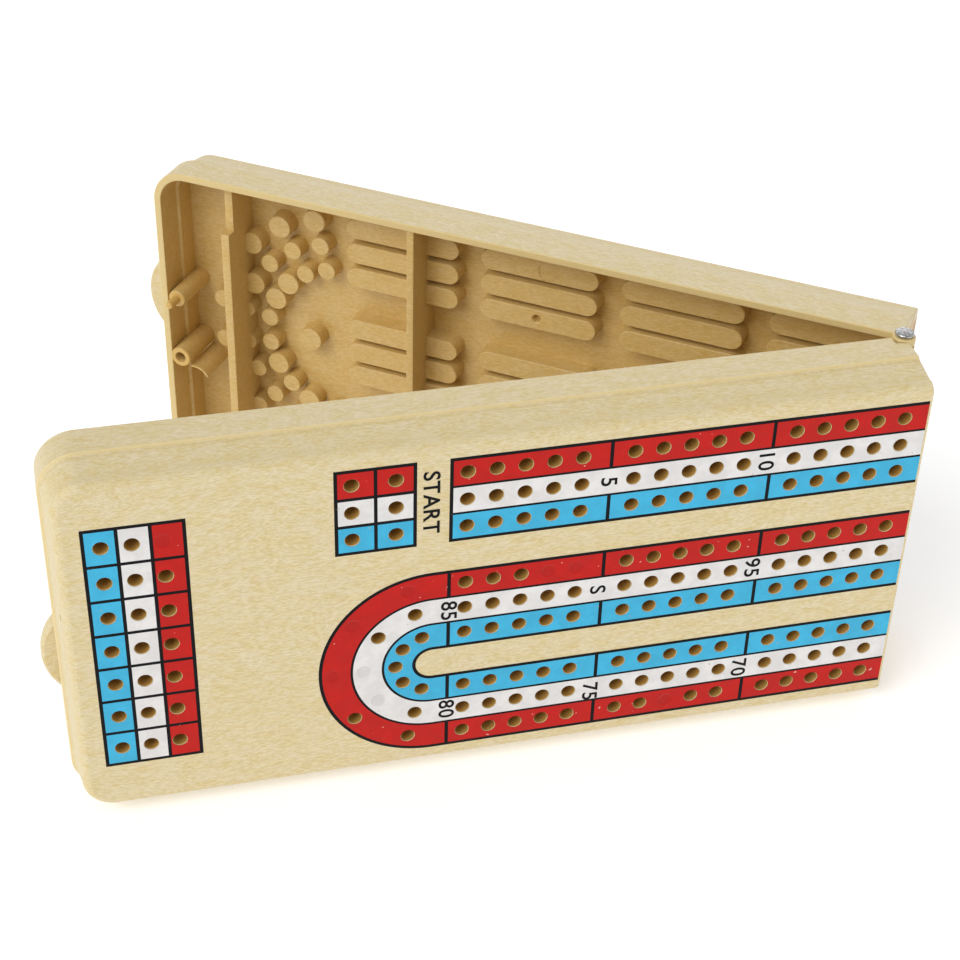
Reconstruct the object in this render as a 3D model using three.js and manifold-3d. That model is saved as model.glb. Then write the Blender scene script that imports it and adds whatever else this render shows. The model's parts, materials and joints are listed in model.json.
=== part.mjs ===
// Folding cribbage board: two moulded tray halves joined at one end by two hinge pins.
// Units are millimetres and +Z is up. The board stands on its long edges, partly open,
// with the front half's play face towards -Y and the hinge at the +X end.
//
// Each half is described in a frame of its own: the origin is on the hinge axis, x runs
// along the board (negative towards the free end), y is minus the depth below the mouth
// plane, and z runs across the board. The rear half is the same moulding turned half a
// turn about the x axis, with its own bosses and peg holes.
import * as THREE from 'three';
import { mergeVertices } from 'three/addons/utils/BufferGeometryUtils.js';
import Module from 'manifold-3d';

const wasm = await Module();
wasm.setup();

// Driving dimensions of one half
const HALF_LENGTH = 184;        // hinge axis to the outside of the free end
const HALF_WIDTH = 44.3;        // centre line to the outside of a long wall
const FACE_DEPTH = 17.2;        // mouth plane to the play face
const RIM_DEPTH = 0.15;         // the rim stops short of the mouth plane
const END_GAP = 0.2;            // the hinge end stops short of the hinge axis
const LEDGE_DEPTH = 8.9;        // mouth plane to the ledge round the outside
const LEDGE_WIDTH = 1.2;        // how far the play face plate steps in from the skirt
const FACE_BEVEL = 1.6;         // bevel round the play face
const CORNER_RADIUS = 8.6;      // plan corners at the free end
const WALL = 1.9;               // skirt wall
const INNER_LEDGE_DEPTH = 7.4;  // where the wall grows thicker inside
const INNER_LEDGE_WIDTH = 1.2;
const FLOOR_DEPTH = 13.2;       // mouth plane to the inside floor
const OVERRUN = 3;              // cutters run this far past what they cut
const FLOOR_ROOT = 0.5;         // ribs, bars, bosses and posts run this far into the floor
const WALL_ROOT = 0.3;          // and the ribs' ends this far into the long walls
const REST_OPENING = 35.9;      // degrees between the two mouth planes as it stands

// Cross ribs
const RIB_THICKNESS = 1.8;
const RIB_DEPTH = 0.9;
const PEG_RIB_X = -165.5;
const MIDDLE_RIB_X = -116;
const LOW_RIB_DEPTH = 3.6;
const LOW_RIB_REACH = 30.5;     // the peg rib is low beyond this distance from the centre

// Hinge: an ear of one half lies over a barrel of the other, and a headed pin joins them
const KNUCKLE_RADIUS = 2.5;
const KNUCKLE_SIDES = 16;
const EAR_THICKNESS = 1.9;
const HINGE_GAP = 0.3;
const BARREL_LENGTH = 4.6;
const BARREL_ROOT_DEPTH = 7;    // how far the web under the barrel runs down the end wall
const PIN_RADIUS = 1;
const PIN_SIDES = 12;
const PIN_HEAD_RADIUS = 2.15;
const PIN_HEAD_HEIGHT = 0.8;
const PIN_HEAD_CHAMFER = [0.4, 0.25];   // across and up
const PIN_LENGTH = 6;
const PIN_TIP_CHAMFER = [0.3, 0.4];

// Locating post and socket, spring leaf and finger tab at the free end
const LOCATOR_X = -179.8;
const LOCATOR_Z = 8.6;
const LOCATOR_SIDES = 12;
const POST_RADIUS = 1.7;
const POST_TIP_RADIUS = 1.2;
const POST_TIP_LENGTH = 3.6;    // how far the tip stands out of the mouth
const POST_TIP_ROOT = 1;        // and how far it runs down into the shaft
const SOCKET_RADIUS = 2.5;
const SOCKET_BORE_RADIUS = 1.55;
const SOCKET_BORE_DEPTH = 11;
const LEAF_START = [-177.4, 11.5];
const LEAF_BEND = [-174.6, 11.0];
const LEAF_END = [-173.6, 13.1];
const LEAF_THICKNESS = 0.8;
const LEAF_DEPTH = 1.2;
const TAB_Z = -9.4;
const TAB_HALF_LENGTH = 9.1;
const TAB_REACH = 3.4;
const TAB_TOP_DEPTH = 0.4;
const TAB_BOTTOM_DEPTH = 3.7;

// Peg holes: five to a group, three rows to a lane, three lanes across the board
const HOLE_RADIUS = 1.55;
const HOLE_DEPTH = 6.6;
const HOLE_SIDES = 6;
const BOSS_SIDES = 6;
const HOLE_PITCH = 6;
const GROUP_PITCH = 35;
const GROUP_SIZE = 5;
const ROW_PITCH = 6.73;
const LANE_PITCH = 28.2;
const BAR_RADIUS = 2.7;
const BAR_DEPTH = 8.5;          // mouth plane to the top of the bar over a group of holes
const BOSS_DEPTH = 9.2;         // mouth plane to the top of a single boss
const ROWS = [-1, 0, 1];

const FRONT = { groups: 3, lastHoleX: -5.8 };
const FRONT_TURN = { x: -107.3, z: -LANE_PITCH / 2, firstAngle: 12.9, secondAngle: 51.5 };
const START_COLUMNS = [-114.5, -123.5];
const COUNTER = { x: -167.1, z: 0.7, columnPitch: 6.04, rowPitch: 8.83, rows: 7 };
const REAR = { groups: 4, lastHoleX: -4.5 };
const REAR_TURN = { x: -137.2, holesPerSide: 5, firstAngle: 13.2, middleGap: 19.4 };
const FINISH_X = -147.1;
const FINISH_BOSS_RADIUS = 3.1;
const FINISH_BOSS_SIDES = 8;

// Turns a closed three.js geometry into a solid that can be joined and cut.
function solidFrom(geometry) {
  geometry.deleteAttribute('normal');
  geometry.deleteAttribute('uv');
  const merged = mergeVertices(geometry, 1e-4);
  return new wasm.Manifold(new wasm.Mesh({
    numProp: 3,
    vertProperties: new Float32Array(merged.attributes.position.array),
    triVerts: new Uint32Array(merged.index.array),
  }));
}

function geometryFrom(solid) {
  const mesh = solid.getMesh();
  const geometry = new THREE.BufferGeometry();
  geometry.setAttribute('position', new THREE.BufferAttribute(mesh.vertProperties, 3));
  geometry.setIndex(new THREE.BufferAttribute(mesh.triVerts, 1));
  return geometry;
}

// A prism whose outline lies in the x-z plane, between two depths below the mouth plane.
function prism(shape, deep, shallow, options = {}) {
  const settings = { depth: deep - shallow, bevelEnabled: false, curveSegments: 6, ...options };
  const geometry = new THREE.ExtrudeGeometry(shape, settings);
  geometry.rotateX(Math.PI / 2);
  geometry.translate(0, -shallow, 0);
  return solidFrom(geometry);
}

// A prism whose outline lies in the x-y plane, between two heights.
function plate(shape, bottom, top) {
  const geometry = new THREE.ExtrudeGeometry(shape, { depth: top - bottom, bevelEnabled: false });
  geometry.translate(0, 0, bottom);
  return solidFrom(geometry);
}

function polygon(points) {
  return new THREE.Shape(points.map(([a, b]) => new THREE.Vector2(a, b)));
}

function rectangle(a0, a1, b0, b1) {
  return polygon([[a0, b0], [a1, b0], [a1, b1], [a0, b1]]);
}

function disc(a, b, radius, sides) {
  const points = [];
  for (let i = 0; i < sides; i += 1) {
    const angle = (2 * Math.PI * (i + 0.5)) / sides;
    points.push([a + radius * Math.cos(angle), b + radius * Math.sin(angle)]);
  }
  return polygon(points);
}

// Plan outline of a half, set in from the outside, with round corners at the free end.
function planOutline(inset, hingeEndX) {
  const freeX = -HALF_LENGTH + inset;
  const halfWidth = HALF_WIDTH - inset;
  const radius = CORNER_RADIUS - inset;
  const shape = new THREE.Shape();
  shape.moveTo(hingeEndX, halfWidth);
  shape.lineTo(freeX + radius, halfWidth);
  shape.absarc(freeX + radius, halfWidth - radius, radius, Math.PI / 2, Math.PI, false);
  shape.absarc(freeX + radius, -halfWidth + radius, radius, Math.PI, 1.5 * Math.PI, false);
  shape.lineTo(hingeEndX, -halfWidth);
  return shape;
}

// The hollow tray with its bevelled plate, ledge and thickened lower wall.
function trayShell() {
  const bevel = {
    bevelEnabled: true,
    bevelThickness: FACE_BEVEL,
    bevelSize: FACE_BEVEL,
    bevelOffset: -FACE_BEVEL,
    bevelSegments: 1,
  };
  const plateTop = LEDGE_DEPTH - FACE_BEVEL;
  const facePlate = prism(
    planOutline(LEDGE_WIDTH, OVERRUN),
    FACE_DEPTH - FACE_BEVEL,
    plateTop,
    bevel,
  );
  const skirt = prism(planOutline(0, OVERRUN), LEDGE_DEPTH, RIM_DEPTH);
  const trim = prism(
    rectangle(-END_GAP, 2 * OVERRUN, -HALF_WIDTH - OVERRUN, HALF_WIDTH + OVERRUN),
    FACE_DEPTH + OVERRUN,
    -OVERRUN,
  );
  const upperPocket = prism(planOutline(WALL, -END_GAP - WALL), INNER_LEDGE_DEPTH, -OVERRUN);
  const lowerInset = WALL + INNER_LEDGE_WIDTH;
  const lowerPocket = prism(planOutline(lowerInset, -END_GAP - lowerInset), FLOOR_DEPTH, 0);
  return facePlate.add(skirt).subtract(trim).subtract(upperPocket).subtract(lowerPocket);
}

// A rib across the tray, rooted in the floor.
function crossRib(x, depth, zFrom, zTo) {
  const outline = rectangle(x - RIB_THICKNESS / 2, x + RIB_THICKNESS / 2, zFrom, zTo);
  return prism(outline, FLOOR_DEPTH + FLOOR_ROOT, depth);
}

function ribs() {
  const reach = HALF_WIDTH - WALL + WALL_ROOT;
  return crossRib(MIDDLE_RIB_X, RIB_DEPTH, -reach, reach)
    .add(crossRib(PEG_RIB_X, RIB_DEPTH, -LOW_RIB_REACH, reach))
    .add(crossRib(PEG_RIB_X, LOW_RIB_DEPTH, -reach, -LOW_RIB_REACH + WALL_ROOT));
}

// The barrel that the other half's ear lies over, with the web that carries it.
function withBarrel(solid) {
  const top = HALF_WIDTH - EAR_THICKNESS - HINGE_GAP;
  const bottom = top - BARREL_LENGTH;
  const earNotch = plate(disc(0, 0, KNUCKLE_RADIUS + HINGE_GAP, KNUCKLE_SIDES), top, HALF_WIDTH + OVERRUN);
  const barrel = plate(disc(0, 0, KNUCKLE_RADIUS, KNUCKLE_SIDES), bottom, top);
  const webEdge = -KNUCKLE_RADIUS * Math.cos(Math.PI / KNUCKLE_SIDES);
  const web = plate(rectangle(webEdge, -END_GAP, -BARREL_ROOT_DEPTH, 0), bottom, top);
  const bore = plate(disc(0, 0, PIN_RADIUS + HINGE_GAP, PIN_SIDES), bottom - OVERRUN, top + OVERRUN);
  return solid.subtract(earNotch).add(barrel).add(web).subtract(bore);
}

// The ear at the outer face of the other long wall, with room below it for a barrel.
function withEar(solid) {
  const inner = -HALF_WIDTH + EAR_THICKNESS;
  const barrelTop = inner + 2 * HINGE_GAP + BARREL_LENGTH;
  const barrelRoom = plate(disc(0, 0, KNUCKLE_RADIUS + HINGE_GAP, KNUCKLE_SIDES), inner, barrelTop);
  const ear = plate(disc(0, 0, KNUCKLE_RADIUS, KNUCKLE_SIDES), -HALF_WIDTH, inner);
  const bore = plate(disc(0, 0, PIN_RADIUS + HINGE_GAP, PIN_SIDES), -HALF_WIDTH - OVERRUN, inner + OVERRUN);
  return solid.subtract(barrelRoom).add(ear).subtract(bore);
}

function locatingPost() {
  const shaft = disc(LOCATOR_X, -LOCATOR_Z, POST_RADIUS, LOCATOR_SIDES);
  const tip = disc(LOCATOR_X, -LOCATOR_Z, POST_TIP_RADIUS, LOCATOR_SIDES);
  const shaftSolid = prism(shaft, FLOOR_DEPTH + FLOOR_ROOT, RIM_DEPTH);
  return shaftSolid.add(prism(tip, POST_TIP_ROOT, -POST_TIP_LENGTH));
}

function locatingSocket() {
  const outline = disc(LOCATOR_X, LOCATOR_Z, SOCKET_RADIUS, LOCATOR_SIDES);
  return prism(outline, FLOOR_DEPTH + FLOOR_ROOT, RIM_DEPTH);
}

function locatingSocketBore() {
  const outline = disc(LOCATOR_X, LOCATOR_Z, SOCKET_BORE_RADIUS, LOCATOR_SIDES);
  return prism(outline, SOCKET_BORE_DEPTH, -OVERRUN);
}

// A thin curved leaf that stands beside the socket.
function springLeaf() {
  const bend = new THREE.QuadraticBezierCurve(
    new THREE.Vector2(...LEAF_START),
    new THREE.Vector2(...LEAF_BEND),
    new THREE.Vector2(...LEAF_END),
  );
  const centres = bend.getPoints(5);
  const outside = [];
  const inside = [];
  centres.forEach((centre, i) => {
    const along = bend.getTangent(i / (centres.length - 1));
    const offsetX = (-along.y * LEAF_THICKNESS) / 2;
    const offsetZ = (along.x * LEAF_THICKNESS) / 2;
    outside.push([centre.x + offsetX, centre.y + offsetZ]);
    inside.unshift([centre.x - offsetX, centre.y - offsetZ]);
  });
  return prism(polygon([...outside, ...inside]), FLOOR_DEPTH + FLOOR_ROOT, LEAF_DEPTH);
}

// The finger tab: a segment of a circle on the outside of the free end.
function fingerTab() {
  const radius = (TAB_HALF_LENGTH ** 2 + TAB_REACH ** 2) / (2 * TAB_REACH);
  const centreX = -HALF_LENGTH - TAB_REACH + radius;
  const halfAngle = Math.asin(TAB_HALF_LENGTH / radius);
  const points = [[-HALF_LENGTH + 1, TAB_Z - TAB_HALF_LENGTH]];
  const steps = 8;
  for (let i = 0; i <= steps; i += 1) {
    const angle = halfAngle * ((2 * i) / steps - 1);
    points.push([centreX - radius * Math.cos(angle), TAB_Z + radius * Math.sin(angle)]);
  }
  points.push([-HALF_LENGTH + 1, TAB_Z + TAB_HALF_LENGTH]);
  return prism(polygon(points), TAB_BOTTOM_DEPTH, TAB_TOP_DEPTH);
}

// Everything that the two halves have in common.
function commonHalf() {
  const solid = trayShell()
    .add(ribs())
    .add(locatingPost())
    .add(locatingSocket())
    .subtract(locatingSocketBore())
    .add(springLeaf())
    .add(fingerTab());
  return withEar(withBarrel(solid));
}

// Hole centres of one lane: a list of rows, each a list of groups of [x, z] points.
function laneHoles(laneZ, half) {
  return ROWS.map((row) => {
    const groups = [];
    for (let group = 0; group < half.groups; group += 1) {
      const lastX = half.lastHoleX - group * GROUP_PITCH;
      const holes = [];
      for (let i = 0; i < GROUP_SIZE; i += 1) {
        holes.push([lastX - i * HOLE_PITCH, laneZ + row * ROW_PITCH]);
      }
      groups.push(holes);
    }
    return groups;
  });
}

function turnHoles(centreX, centreZ, radius, angles) {
  return angles.map((degrees) => {
    const angle = THREE.MathUtils.degToRad(degrees);
    return [centreX - radius * Math.sin(angle), centreZ + radius * Math.cos(angle)];
  });
}

function frontSingleHoles() {
  const { firstAngle, secondAngle } = FRONT_TURN;
  const angles = [firstAngle, secondAngle, 90, 180 - secondAngle, 180 - firstAngle];
  const holes = [];
  for (const row of ROWS) {
    const radius = LANE_PITCH / 2 + row * ROW_PITCH;
    holes.push(...turnHoles(FRONT_TURN.x, FRONT_TURN.z, radius, angles));
    for (const x of START_COLUMNS) {
      holes.push([x, LANE_PITCH + row * ROW_PITCH]);
    }
    for (let i = 0; i < COUNTER.rows; i += 1) {
      const z = COUNTER.z + ((COUNTER.rows - 1) / 2 - i) * COUNTER.rowPitch;
      holes.push([COUNTER.x + row * COUNTER.columnPitch, z]);
    }
  }
  return holes;
}

function rearSingleHoles() {
  const { x, holesPerSide, firstAngle, middleGap } = REAR_TURN;
  const step = (90 - middleGap / 2 - firstAngle) / (holesPerSide - 1);
  const upper = Array.from({ length: holesPerSide }, (_, i) => firstAngle + i * step);
  const angles = [...upper, ...upper.map((angle) => 180 - angle)];
  return ROWS.flatMap((row) => turnHoles(x, 0, LANE_PITCH + row * ROW_PITCH, angles));
}

// Adds a bar over each group and a boss over each single hole, then cuts the holes.
function withPegHoles(common, half, singles, finish) {
  let solid = common;
  const centres = [...singles, ...finish];
  for (const laneZ of [LANE_PITCH, 0, -LANE_PITCH]) {
    for (const group of laneHoles(laneZ, half).flat()) {
      const [firstX, z] = group[0];
      const lastX = group[GROUP_SIZE - 1][0];
      const hingeSide = Math.min(firstX + BAR_RADIUS, -END_GAP - WALL);
      const outline = rectangle(lastX - BAR_RADIUS, hingeSide, z - BAR_RADIUS, z + BAR_RADIUS);
      solid = solid.add(prism(outline, FLOOR_DEPTH + FLOOR_ROOT, BAR_DEPTH));
      centres.push(...group);
    }
  }
  for (const [x, z] of singles) {
    const outline = disc(x, z, BAR_RADIUS, BOSS_SIDES);
    solid = solid.add(prism(outline, FLOOR_DEPTH + FLOOR_ROOT, BOSS_DEPTH));
  }
  for (const [x, z] of finish) {
    const outline = disc(x, z, FINISH_BOSS_RADIUS, FINISH_BOSS_SIDES);
    solid = solid.add(prism(outline, FLOOR_DEPTH + FLOOR_ROOT, BOSS_DEPTH));
  }
  for (const [x, z] of centres) {
    const outline = disc(x, z, HOLE_RADIUS, HOLE_SIDES);
    solid = solid.subtract(prism(outline, FACE_DEPTH + OVERRUN, FACE_DEPTH - HOLE_DEPTH));
  }
  return solid;
}

// A headed pin on the hinge axis, driven in from the outer face at positive z.
function hingePinGeometry() {
  const headBottom = HALF_WIDTH + HINGE_GAP;
  const shankBottom = HALF_WIDTH - PIN_LENGTH;
  const [tipAcross, tipUp] = PIN_TIP_CHAMFER;
  const [headAcross, headUp] = PIN_HEAD_CHAMFER;
  const profile = [
    [0, shankBottom],
    [PIN_RADIUS - tipAcross, shankBottom],
    [PIN_RADIUS, shankBottom + tipUp],
    [PIN_RADIUS, headBottom],
    [PIN_HEAD_RADIUS, headBottom],
    [PIN_HEAD_RADIUS, headBottom + PIN_HEAD_HEIGHT - headUp],
    [PIN_HEAD_RADIUS - headAcross, headBottom + PIN_HEAD_HEIGHT],
    [0, headBottom + PIN_HEAD_HEIGHT],
  ];
  const points = profile.map(([radius, height]) => new THREE.Vector2(radius, height));
  const geometry = new THREE.LatheGeometry(points, PIN_SIDES);
  geometry.rotateX(Math.PI / 2);
  geometry.rotateZ(Math.PI / PIN_SIDES);
  return geometry;
}

function moulding(name, solid) {
  const plastic = new THREE.MeshStandardMaterial({ color: 0xdecba0, roughness: 0.5, metalness: 0 });
  const mesh = new THREE.Mesh(geometryFrom(solid), plastic);
  mesh.name = name;
  return mesh;
}

function hingePin(name) {
  const steel = new THREE.MeshStandardMaterial({ color: 0xbebec3, roughness: 0.35, metalness: 1 });
  const mesh = new THREE.Mesh(hingePinGeometry(), steel);
  mesh.name = name;
  return mesh;
}

// One half turn about x takes a half, or a pin, to the other side of the mouth plane.
function turnedOver(mesh) {
  mesh.rotation.x = Math.PI;
  return mesh;
}

function cribbageBoard() {
  const common = commonHalf();
  const frontHalf = moulding('front_half', withPegHoles(common, FRONT, frontSingleHoles(), []));
  const rearSolid = withPegHoles(common, REAR, rearSingleHoles(), [[FINISH_X, 0]]);
  const rearHalf = turnedOver(moulding('rear_half', rearSolid));

  const rearAssembly = new THREE.Group();
  rearAssembly.add(rearHalf, turnedOver(hingePin('lower_hinge_pin')));
  rearAssembly.rotation.z = -THREE.MathUtils.degToRad(REST_OPENING);

  const board = new THREE.Group();
  board.add(frontHalf, hingePin('upper_hinge_pin'), rearAssembly);

  // The part's origin is the middle of its underside.
  board.updateMatrixWorld(true);
  const box = new THREE.Box3().setFromObject(board, true);
  const centre = box.getCenter(new THREE.Vector3());
  board.position.set(-centre.x, -centre.y, -box.min.z);
  return board;
}

export default cribbageBoard();
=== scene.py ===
"""The looks of a folding cribbage board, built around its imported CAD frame.

Each half is made in a frame of its own, in millimetres: the origin is on the hinge axis,
x runs along the board (negative towards the free end), y is minus the depth below the
mouth plane and z runs across the board. The rear half is the same moulding turned over.
"""
import json
import math

import bpy
import bmesh
from mathutils import Matrix, Vector


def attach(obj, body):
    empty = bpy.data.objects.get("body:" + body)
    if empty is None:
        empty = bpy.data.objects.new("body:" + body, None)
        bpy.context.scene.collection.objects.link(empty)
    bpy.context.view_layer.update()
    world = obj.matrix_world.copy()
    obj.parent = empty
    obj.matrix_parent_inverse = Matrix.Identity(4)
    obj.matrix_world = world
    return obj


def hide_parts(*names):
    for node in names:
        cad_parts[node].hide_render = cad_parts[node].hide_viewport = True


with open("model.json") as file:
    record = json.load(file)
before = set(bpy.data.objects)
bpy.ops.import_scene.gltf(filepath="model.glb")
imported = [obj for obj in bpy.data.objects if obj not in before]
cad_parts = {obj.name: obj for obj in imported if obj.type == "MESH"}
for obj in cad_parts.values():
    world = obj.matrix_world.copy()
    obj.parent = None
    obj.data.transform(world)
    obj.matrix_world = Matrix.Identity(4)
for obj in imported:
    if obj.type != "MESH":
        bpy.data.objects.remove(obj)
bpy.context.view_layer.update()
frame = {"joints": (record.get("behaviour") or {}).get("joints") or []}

MM = 0.001
FOLD = frame["joints"][0]
HINGE = Vector(FOLD["pos_m"])
OPENING = -math.radians(FOLD["range_deg"][0])

# The moulding, in mm
HALF_LENGTH = 184
HALF_WIDTH = 44.3
END_GAP = 0.2
RIM_DEPTH = 0.15
RIM_ROUNDING = 0.35
FLOOR_DEPTH = 13.2
CORNER_RADIUS = 8.6
LEAST_CORNER_RADIUS = 0.5
OUTER_HINGE_CORNER = 0.3
INNER_HINGE_CORNER = 0.5
WALL = 1.9
INNER_STEP = 0.85
INSIDE = WALL + INNER_STEP      # inset of the inside wall under its step
BELOW_FLOOR = FLOOR_DEPTH + 0.6     # where joined solids start
OVERRUN = 3                     # how far cutters reach past what they cut
CORNER_STEPS = 20
HINGE_CORNER_STEPS = 3
ROUND_STEPS = 28
MARK_STEPS = 36
FINISH_STEPS = 48

# The play face lies just under the print, whose top is level with the CAD model's face
PRINT_TOP = 17.2
FACE_DEPTH = 17.14
BLACK_TOP = 17.16
COLOUR_TOP = 17.18

# Outside of the moulding, from the rim to the play face
SKIRT_END = 8.1
RIDGE_RADIUS = 0.4
FACE_ROUNDING = 2.1
RIDGE_FOOT = (8.85, 0.62)       # depth and inset
FACE_ROUND_INSET = 1.8
WALL_DRAFT = 11.9

# Inside of the moulding, from above the mouth to the floor, as (depth, inset) corners
POCKET = (
    (-OVERRUN, WALL - 0.35), (RIM_DEPTH, WALL - 0.35), (0.25, WALL - 0.12), (0.5, WALL),
    (7.1, WALL + 0.05), (7.35, WALL + 0.15), (7.45, INSIDE - 0.3), (7.7, INSIDE),
    (FLOOR_DEPTH - 0.15, INSIDE + 0.1), (FLOOR_DEPTH, INSIDE + 0.25),
)

PEG_RIB = (-165.25, 2.3)        # x and thickness
MIDDLE_RIB = (-116.05, 1.95)
RIB_DEPTH = 0.9
LOW_RIB_DEPTH = 3.6
LOW_RIB_REACH = 29.9
RIB_OVERLAP = 0.3
WALL_OVERLAP = 0.2

# Peg holes: five to a group, three rows to a lane, three lanes across the board
HOLE_RADIUS = 1.5
HOLE_BOTTOM = 10.6
HOLE_PROFILE = (                # (depth, growth) from above the print to the bottom
    (PRINT_TOP + OVERRUN, 0.13), (FACE_DEPTH + 0.01, 0.13), (FACE_DEPTH - 0.06, 0.05),
    (FACE_DEPTH - 0.18, 0), (HOLE_BOTTOM + 0.5, -0.08), (HOLE_BOTTOM, -0.5),
)
HOLE_PITCH = 6
GROUP_PITCH = 35
GROUP_SIZE = 5
ROW_PITCH = 6.73
LANE_PITCH = 28.2
ROWS = (-1, 0, 1)
BAR_RADIUS = 2.7
BAR_DEPTH = 8.5
BAR_SETBACK = 0.6               # from the wall above its step, so that a bar ends in the step
BOSS_DEPTH = 9.2
FRONT_GROUPS = 3
FRONT_LAST_HOLE = -5.8
REAR_GROUPS = 4
REAR_LAST_HOLE = -4.5
FRONT_TURN_X = -107.3
FRONT_TURN_ANGLES = (12.9, 51.5, 90, 128.5, 167.1)
FILLED_TURN_HOLES = ((1, 12.9), (1, 51.5), (1, 90), (0, 90), (0, 128.5))    # row and angle
REAR_TURN_X = -137.2
REAR_TURN_UPPER = tuple(13.2 + 16.775 * i for i in range(5))
REAR_TURN_ANGLES = REAR_TURN_UPPER + tuple(180 - angle for angle in REAR_TURN_UPPER[::-1])
START_COLUMNS = (-114.5, -123.5)
FINISH_X = -147.1
FINISH_BOSS_RADIUS = 3.1
WIDE_BOSS_RADIUS = 2.95
SLIM_BOSS_RADIUS = 2.4
WIDE_BOSSES = (                 # row and place on the rear's turn
    (1, 7), (1, 8), (1, 9), (0, 6), (-1, 1), (-1, 3), (-1, 6), (-1, 7),
)
COUNTER_X = -167.1
COUNTER_Z = 0.7
COUNTER_COLUMN = 6.04
COUNTER_ROW = 8.83
COUNTER_ROWS = 7
COUNTER_PRINT_X = -166.65
COUNTER_CELL = 6.6

# Marks left by the mould inside each half: x, z, radius and surface depth
EJECTOR_MARKS = ((-83.7, -35, 2.9, BAR_DEPTH), (-176.5, -15.6, 2.1, FLOOR_DEPTH))
GATE_MARK = (-86.6, -21.7, 1.3, BAR_DEPTH)

# Print
FLAG = ("red", "white", "blue")
INK_ROOT = 0.03                 # how far the black ink sinks into the face
COLOUR_ROOT = 0.005             # and the coloured inks into the black
LETTER_ROOT = 0.01
LANE_HALF = 10.45
OUTER_LINE = 0.75
INNER_LINE = 0.55
DIVIDER = 0.8
GRID_LINE = 0.75
PRINT_END = -0.7
FRONT_LANE_END = -103.5
REAR_LANE_END = -138
START_LINES = (-126.7, -118.65, -110.6)
START_EDGE = 0.3                # from the lane's edge to the middle of the box's outer line
FINISH_DISC = 5.2
FINISH_WHITE = 4.6
FRONT_TURN_PRINT = (-106.65, -14.25)     # x and z of its middle, a little off its holes
FRONT_DIVIDERS = (-34.8, -69.8, -103.3)
REAR_DIVIDERS = (-34, -69, -104, -136.4)
LETTER_HEIGHT = 3.5
LETTER_WIDTH = 1.06
LONG_NUMBER_WIDTH = 0.7        # of a number with three digits
LETTER_WEIGHT = 0.014
LETTER_SPACING = 1.06
LETTER_FINENESS = 6
LETTER_EXTRUSION = 0.5
LETTER_MERGE_DISTANCE = 1e-5

# Labels: text, x and z
FRONT_LABELS = [
    ("5", -70.0, 28.1), ("10", -35.8, 28.1), ("85", -103.2, -0.4), ("S", -70.7, -0.2),
    ("95", -35.9, 0.1), ("80", -103.4, -28.1), ("75", -70.8, -29.1), ("70", -36, -28.5),
    ("START", -107.2, 28.3),
]
REAR_LABELS = [
    ("20", -34, -LANE_PITCH), ("25", -69, -LANE_PITCH), ("30", -104, -LANE_PITCH),
    ("35", -138.4, -LANE_PITCH), ("45", -138.4, LANE_PITCH), ("50", -104, LANE_PITCH),
    ("55", -69, LANE_PITCH), ("60", -34, LANE_PITCH), ("105", -34, 0), ("110", -69, 0),
    ("115", -104, 0),
]

# Hinge
KNUCKLE_RADIUS = 2.5
EAR_THICKNESS = 1.9
HINGE_GAP = 0.3
BARREL_LENGTH = 4.6
BARREL_ROOT = 7
WEB_INSET = 0.1
KNUCKLE_ROUNDING = 0.25
NOTCH = ((-3.4, OVERRUN), (-3.15, -2.75), (-1.1, -3.1), (1.9, -2.4), (OVERRUN, OVERRUN))    # x, y
PIN_RADIUS = 1
PIN_HEAD_RADIUS = 2.05
PIN_HEAD_HEIGHT = 0.8
PIN_LENGTH = 6
PIN_PLAY = 0.1
PIN_END_RADIUS = 0.4

# Post, socket, leaf and finger tab at the free end
LOCATOR_X = -179.8
LOCATOR_Z = 8.6
POST = (                        # (depth, radius) from the floor to the tip
    (BELOW_FLOOR, 2.55), (1.2, 2.28), (0.5, 2.2), (0.3, 1.95), (0.25, 1.12),
    (-2.9, 1.02), (-3.4, 0.86), (-3.6, 0.5),
)
SOCKET = ((BELOW_FLOOR, 2.75), (1, 2.7), (0.35, 2.66), (0.15, 2.45))
SOCKET_BORE = ((11, 1.2), (0.5, 1.35), (0.15, 1.5), (-OVERRUN, 1.5))
LEAF = ((-177.5, 11.2), (-174.3, 10.9), (-172.9, 13.4))     # a curve's start, pull and end
LEAF_HALF_THICKNESS = 0.33
LEAF_PROFILE = ((BELOW_FLOOR, 0.1), (1.5, 0), (1.2, -0.15))     # (depth, growth)
LEAF_STEPS = 12
TAB_Z = -9.4
TAB_HALF_LENGTH = 9.1
TAB_REACH = 3.4
TAB_DEPTHS = (0.4, 3.7)
TAB_ROOT = 1                    # how far the tab runs into the wall

SMOOTH_ANGLE = 28               # edges sharper than this stay sharp, in degrees
MERGE_DISTANCE = 1e-7           # in metres

# Materials
PLACE = "half_place"            # each point's place in its half's own frame, in metres
PALE_PLASTIC = ((0.655, 0.53, 0.285, 1), (0.75, 0.645, 0.43, 1))        # dull and pearly
WARM_PLASTIC = ((0.625, 0.485, 0.205, 1), (0.73, 0.605, 0.33, 1))
WARM_SHARE = 0.75
# Painted yellow highlight along the ridge
RIDGE_HIGHLIGHT = (0.78, 0.63, 0.32, 1)
# Painted deeper yellow of light shining through the thin rim
RIM_GLOW_COLOUR = (0.7, 0.53, 0.22, 1)
EDGE_LIGHT_SHARE = 0.8                # of the ridge's painted highlight and the rim's painted light
# Painted shade at the ridge's foot and in the cove above the face's rounding
CREASE_SHADE_COLOUR = (0.6, 0.46, 0.18, 1)
CREASE_SHADE_SHARE = 0.35
# Painted shade inside the tray, warmed as by light bouncing there
INSIDE_SHADE = (0.9, 0.75, 0.46, 1)
# Painted shade inside the peg holes
HOLE_SHADE = (0.66, 0.46, 0.2, 1)

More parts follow.
